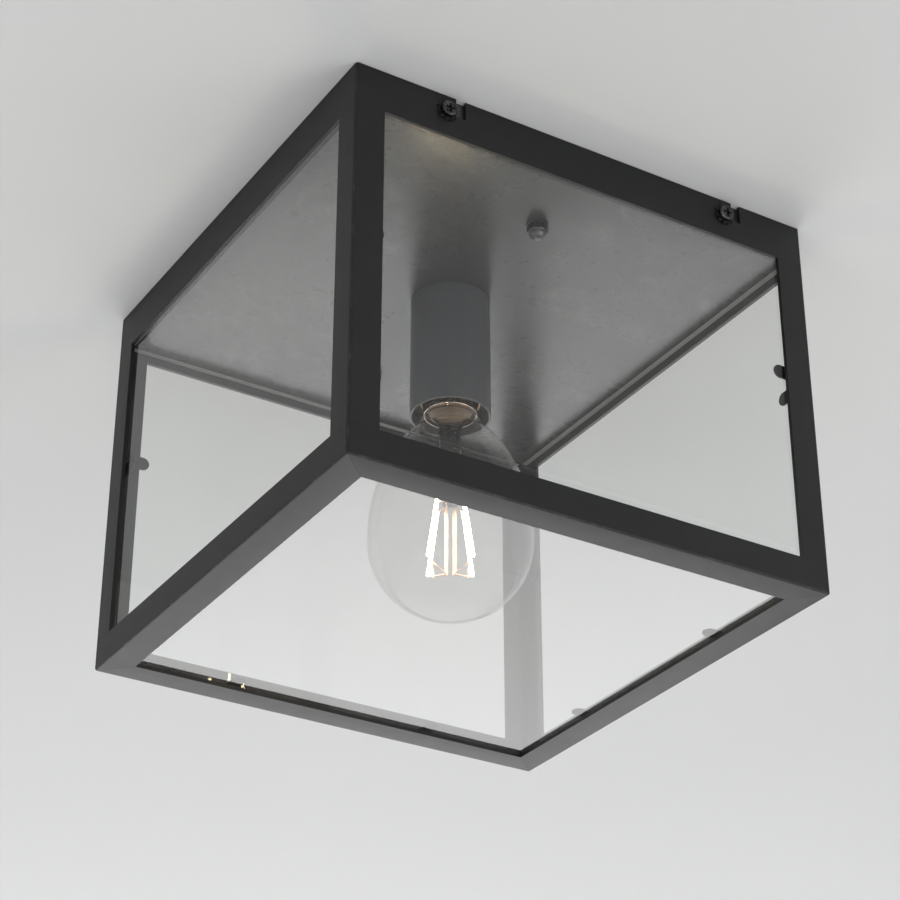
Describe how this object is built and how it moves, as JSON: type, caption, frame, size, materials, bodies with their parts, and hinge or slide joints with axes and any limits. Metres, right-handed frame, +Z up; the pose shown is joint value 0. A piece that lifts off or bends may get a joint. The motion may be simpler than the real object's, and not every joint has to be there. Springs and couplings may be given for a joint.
{
  "type": "ceiling lantern",
  "caption": "Box-shaped porch ceiling lantern: a black steel cage with clear panes on all sides and below, a round lamp hung in a plain sleeve under a flat tray.",
  "frame": {"origin": "middle of the ceiling plane, on the bracket's upper face", "axes": "+Z up into the ceiling, -Y towards the front with its two fixing screws, +X to the right"},
  "size_m": [0.25, 0.257, 0.2],
  "materials": {
    "satin_black": "satin black powder coat",
    "gloss_black": "glossy black enamel",
    "clear_glass": "clear polished float glass",
    "lamp_glass": "clear thin blown glass",
    "black_zinc": "dark plated, slightly glossy",
    "zinc_steel": "bright zinc plating",
    "brass_parts": "pressed brass",
    "nickel_cap": "rolled lamp cap",
    "solder": "dull solder",
    "black_resin": "black phenolic resin",
    "copper_wire": "copper-coated wire",
    "filament_coat": "yellow phosphor coat",
    "white_plastic": "white polyamide",
    "brown_sheath": "brown wire sheath",
    "blue_sheath": "blue wire sheath",
    "green_sheath": "green and yellow wire sheath"
  },
  "bodies": {
    "base": {"base_tray": "gloss_black", "threaded_inserts": "zinc_steel", "ceiling_bracket": "zinc_steel", "bracket_studs": "zinc_steel", "stud_washers": "black_zinc", "cap_nuts": "black_zinc", "lampholder_sleeve": "satin_black", "holder_nipple": "zinc_steel", "nipple_nut": "zinc_steel", "lampholder_body": "black_resin", "holder_screws": "brass_parts", "lampholder_shell": "brass_parts", "centre_contact": "brass_parts", "terminal_block": "white_plastic", "terminal_screws": "zinc_steel", "block_screw": "zinc_steel", "lead_live": "brown_sheath", "lead_neutral": "blue_sheath", "earth_lead": "green_sheath", "earth_stud": "zinc_steel", "earth_ring": "brass_parts", "earth_nut": "zinc_steel"},
    "cage": {"top_band_front": "satin_black", "bottom_rail_front": "satin_black", "glass_front": "clear_glass", "top_band_right": "satin_black", "bottom_rail_right": "satin_black", "glass_right": "clear_glass", "top_band_rear": "satin_black", "bottom_rail_rear": "satin_black", "glass_rear": "clear_glass", "top_band_left": "satin_black", "bottom_rail_left": "satin_black", "glass_left": "clear_glass", "corner_post_front_left": "satin_black", "corner_post_front_right": "satin_black", "corner_post_rear_left": "satin_black", "corner_post_rear_right": "satin_black", "glass_bottom": "clear_glass", "post_tabs": "satin_black", "rail_tabs": "satin_black"},
    "lamp_tip": {"contact_tip": "solder"},
    "lamp": {"lamp_globe": "lamp_glass", "lamp_cap": "nickel_cap", "cap_insulator": "black_resin", "glass_stem": "lamp_glass", "lamp_pillars": "copper_wire", "lamp_filaments": "filament_coat", "filament_wires": "copper_wire"},
    "washer_front_left": {"key_washer_front_left": "black_zinc"},
    "screw_front_left": {"fixing_screw_front_left": "black_zinc"},
    "washer_front_right": {"key_washer_front_right": "black_zinc"},
    "screw_front_right": {"fixing_screw_front_right": "black_zinc"},
    "washer_rear_left": {"key_washer_rear_left": "black_zinc"},
    "screw_rear_left": {"fixing_screw_rear_left": "black_zinc"},
    "washer_rear_right": {"key_washer_rear_right": "black_zinc"},
    "screw_rear_right": {"fixing_screw_rear_right": "black_zinc"}
  },
  "joints": [
    {"name": "cage_drop", "type": "slide", "parent": "base", "child": "cage", "axis": [0, 0, -1], "range_m": [0, 0.215]},
    {"name": "lamp_lower", "type": "slide", "parent": "base", "child": "lamp_tip", "axis": [0, 0, -1], "range_m": [0, 0.00363]},
    {"name": "lamp_turn", "type": "hinge", "parent": "lamp_tip", "child": "lamp", "pos_m": [0, 0, -0.0562], "axis": [0, 0, -1], "range_deg": [0, 360]},
    {"name": "washer_out_front_left", "type": "slide", "parent": "base", "child": "washer_front_left", "axis": [0, -1, 0], "range_m": [0, 0.0014]},
    {"name": "screw_turn_front_left", "type": "hinge", "parent": "washer_front_left", "child": "screw_front_left", "pos_m": [-0.078, -0.126, -0.0088], "axis": [0, -1, 0], "range_deg": [0, 720]},
    {"name": "washer_out_front_right", "type": "slide", "parent": "base", "child": "washer_front_right", "axis": [0, -1, 0], "range_m": [0, 0.0014]},
    {"name": "screw_turn_front_right", "type": "hinge", "parent": "washer_front_right", "child": "screw_front_right", "pos_m": [0.078, -0.126, -0.0088], "axis": [0, -1, 0], "range_deg": [0, 720]},
    {"name": "washer_out_rear_left", "type": "slide", "parent": "base", "child": "washer_rear_left", "axis": [0, 1, 0], "range_m": [0, 0.0014]},
    {"name": "screw_turn_rear_left", "type": "hinge", "parent": "washer_rear_left", "child": "screw_rear_left", "pos_m": [-0.078, 0.126, -0.0088], "axis": [0, 1, 0], "range_deg": [0, 720]},
    {"name": "washer_out_rear_right", "type": "slide", "parent": "base", "child": "washer_rear_right", "axis": [0, 1, 0], "range_m": [0, 0.0014]},
    {"name": "screw_turn_rear_right", "type": "hinge", "parent": "washer_rear_right", "child": "screw_rear_right", "pos_m": [0.078, 0.126, -0.0088], "axis": [0, 1, 0], "range_deg": [0, 720]}
  ],
  "couplings": [
    {"joint": "lamp_lower", "follows": "lamp_turn", "m_per_rad": 0.0005777},
    {"joint": "screw_turn_front_left", "follows": "washer_out_front_left", "rad_per_m": 8975},
    {"joint": "screw_turn_front_right", "follows": "washer_out_front_right", "rad_per_m": 8975},
    {"joint": "screw_turn_rear_left", "follows": "washer_out_rear_left", "rad_per_m": 8975},
    {"joint": "screw_turn_rear_right", "follows": "washer_out_rear_right", "rad_per_m": 8975}
  ]
}
